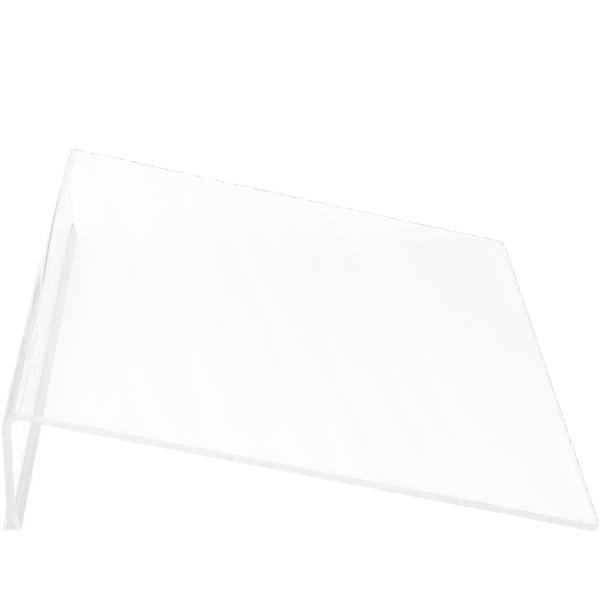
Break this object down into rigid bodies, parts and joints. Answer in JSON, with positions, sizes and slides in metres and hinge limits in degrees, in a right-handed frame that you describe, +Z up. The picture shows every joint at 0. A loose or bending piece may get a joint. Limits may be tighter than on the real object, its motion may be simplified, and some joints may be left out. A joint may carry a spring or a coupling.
{
  "type": "countertop sneeze guard",
  "caption": "Clear bent-sheet food guard: a short upright leg and a long panel sloping to the counter, with a flared clear foot channel along the leg's lower edge.",
  "frame": {"origin": "on the counter, at the middle of the guard's box", "axes": "+Z up from the counter, +X from the upright leg towards the panel's free edge, Y along the bend"},
  "size_m": [0.448, 0.508, 0.1018],
  "materials": {
    "clear_acrylic": "polished clear cast acrylic with satin sawn edges",
    "clear_pvc": "glossy clear flexible PVC extrusion, very slightly milky"
  },
  "bodies": {
    "root": {"guard_sheet": "clear_acrylic", "foot_channel": "clear_pvc"}
  },
  "joints": []
}
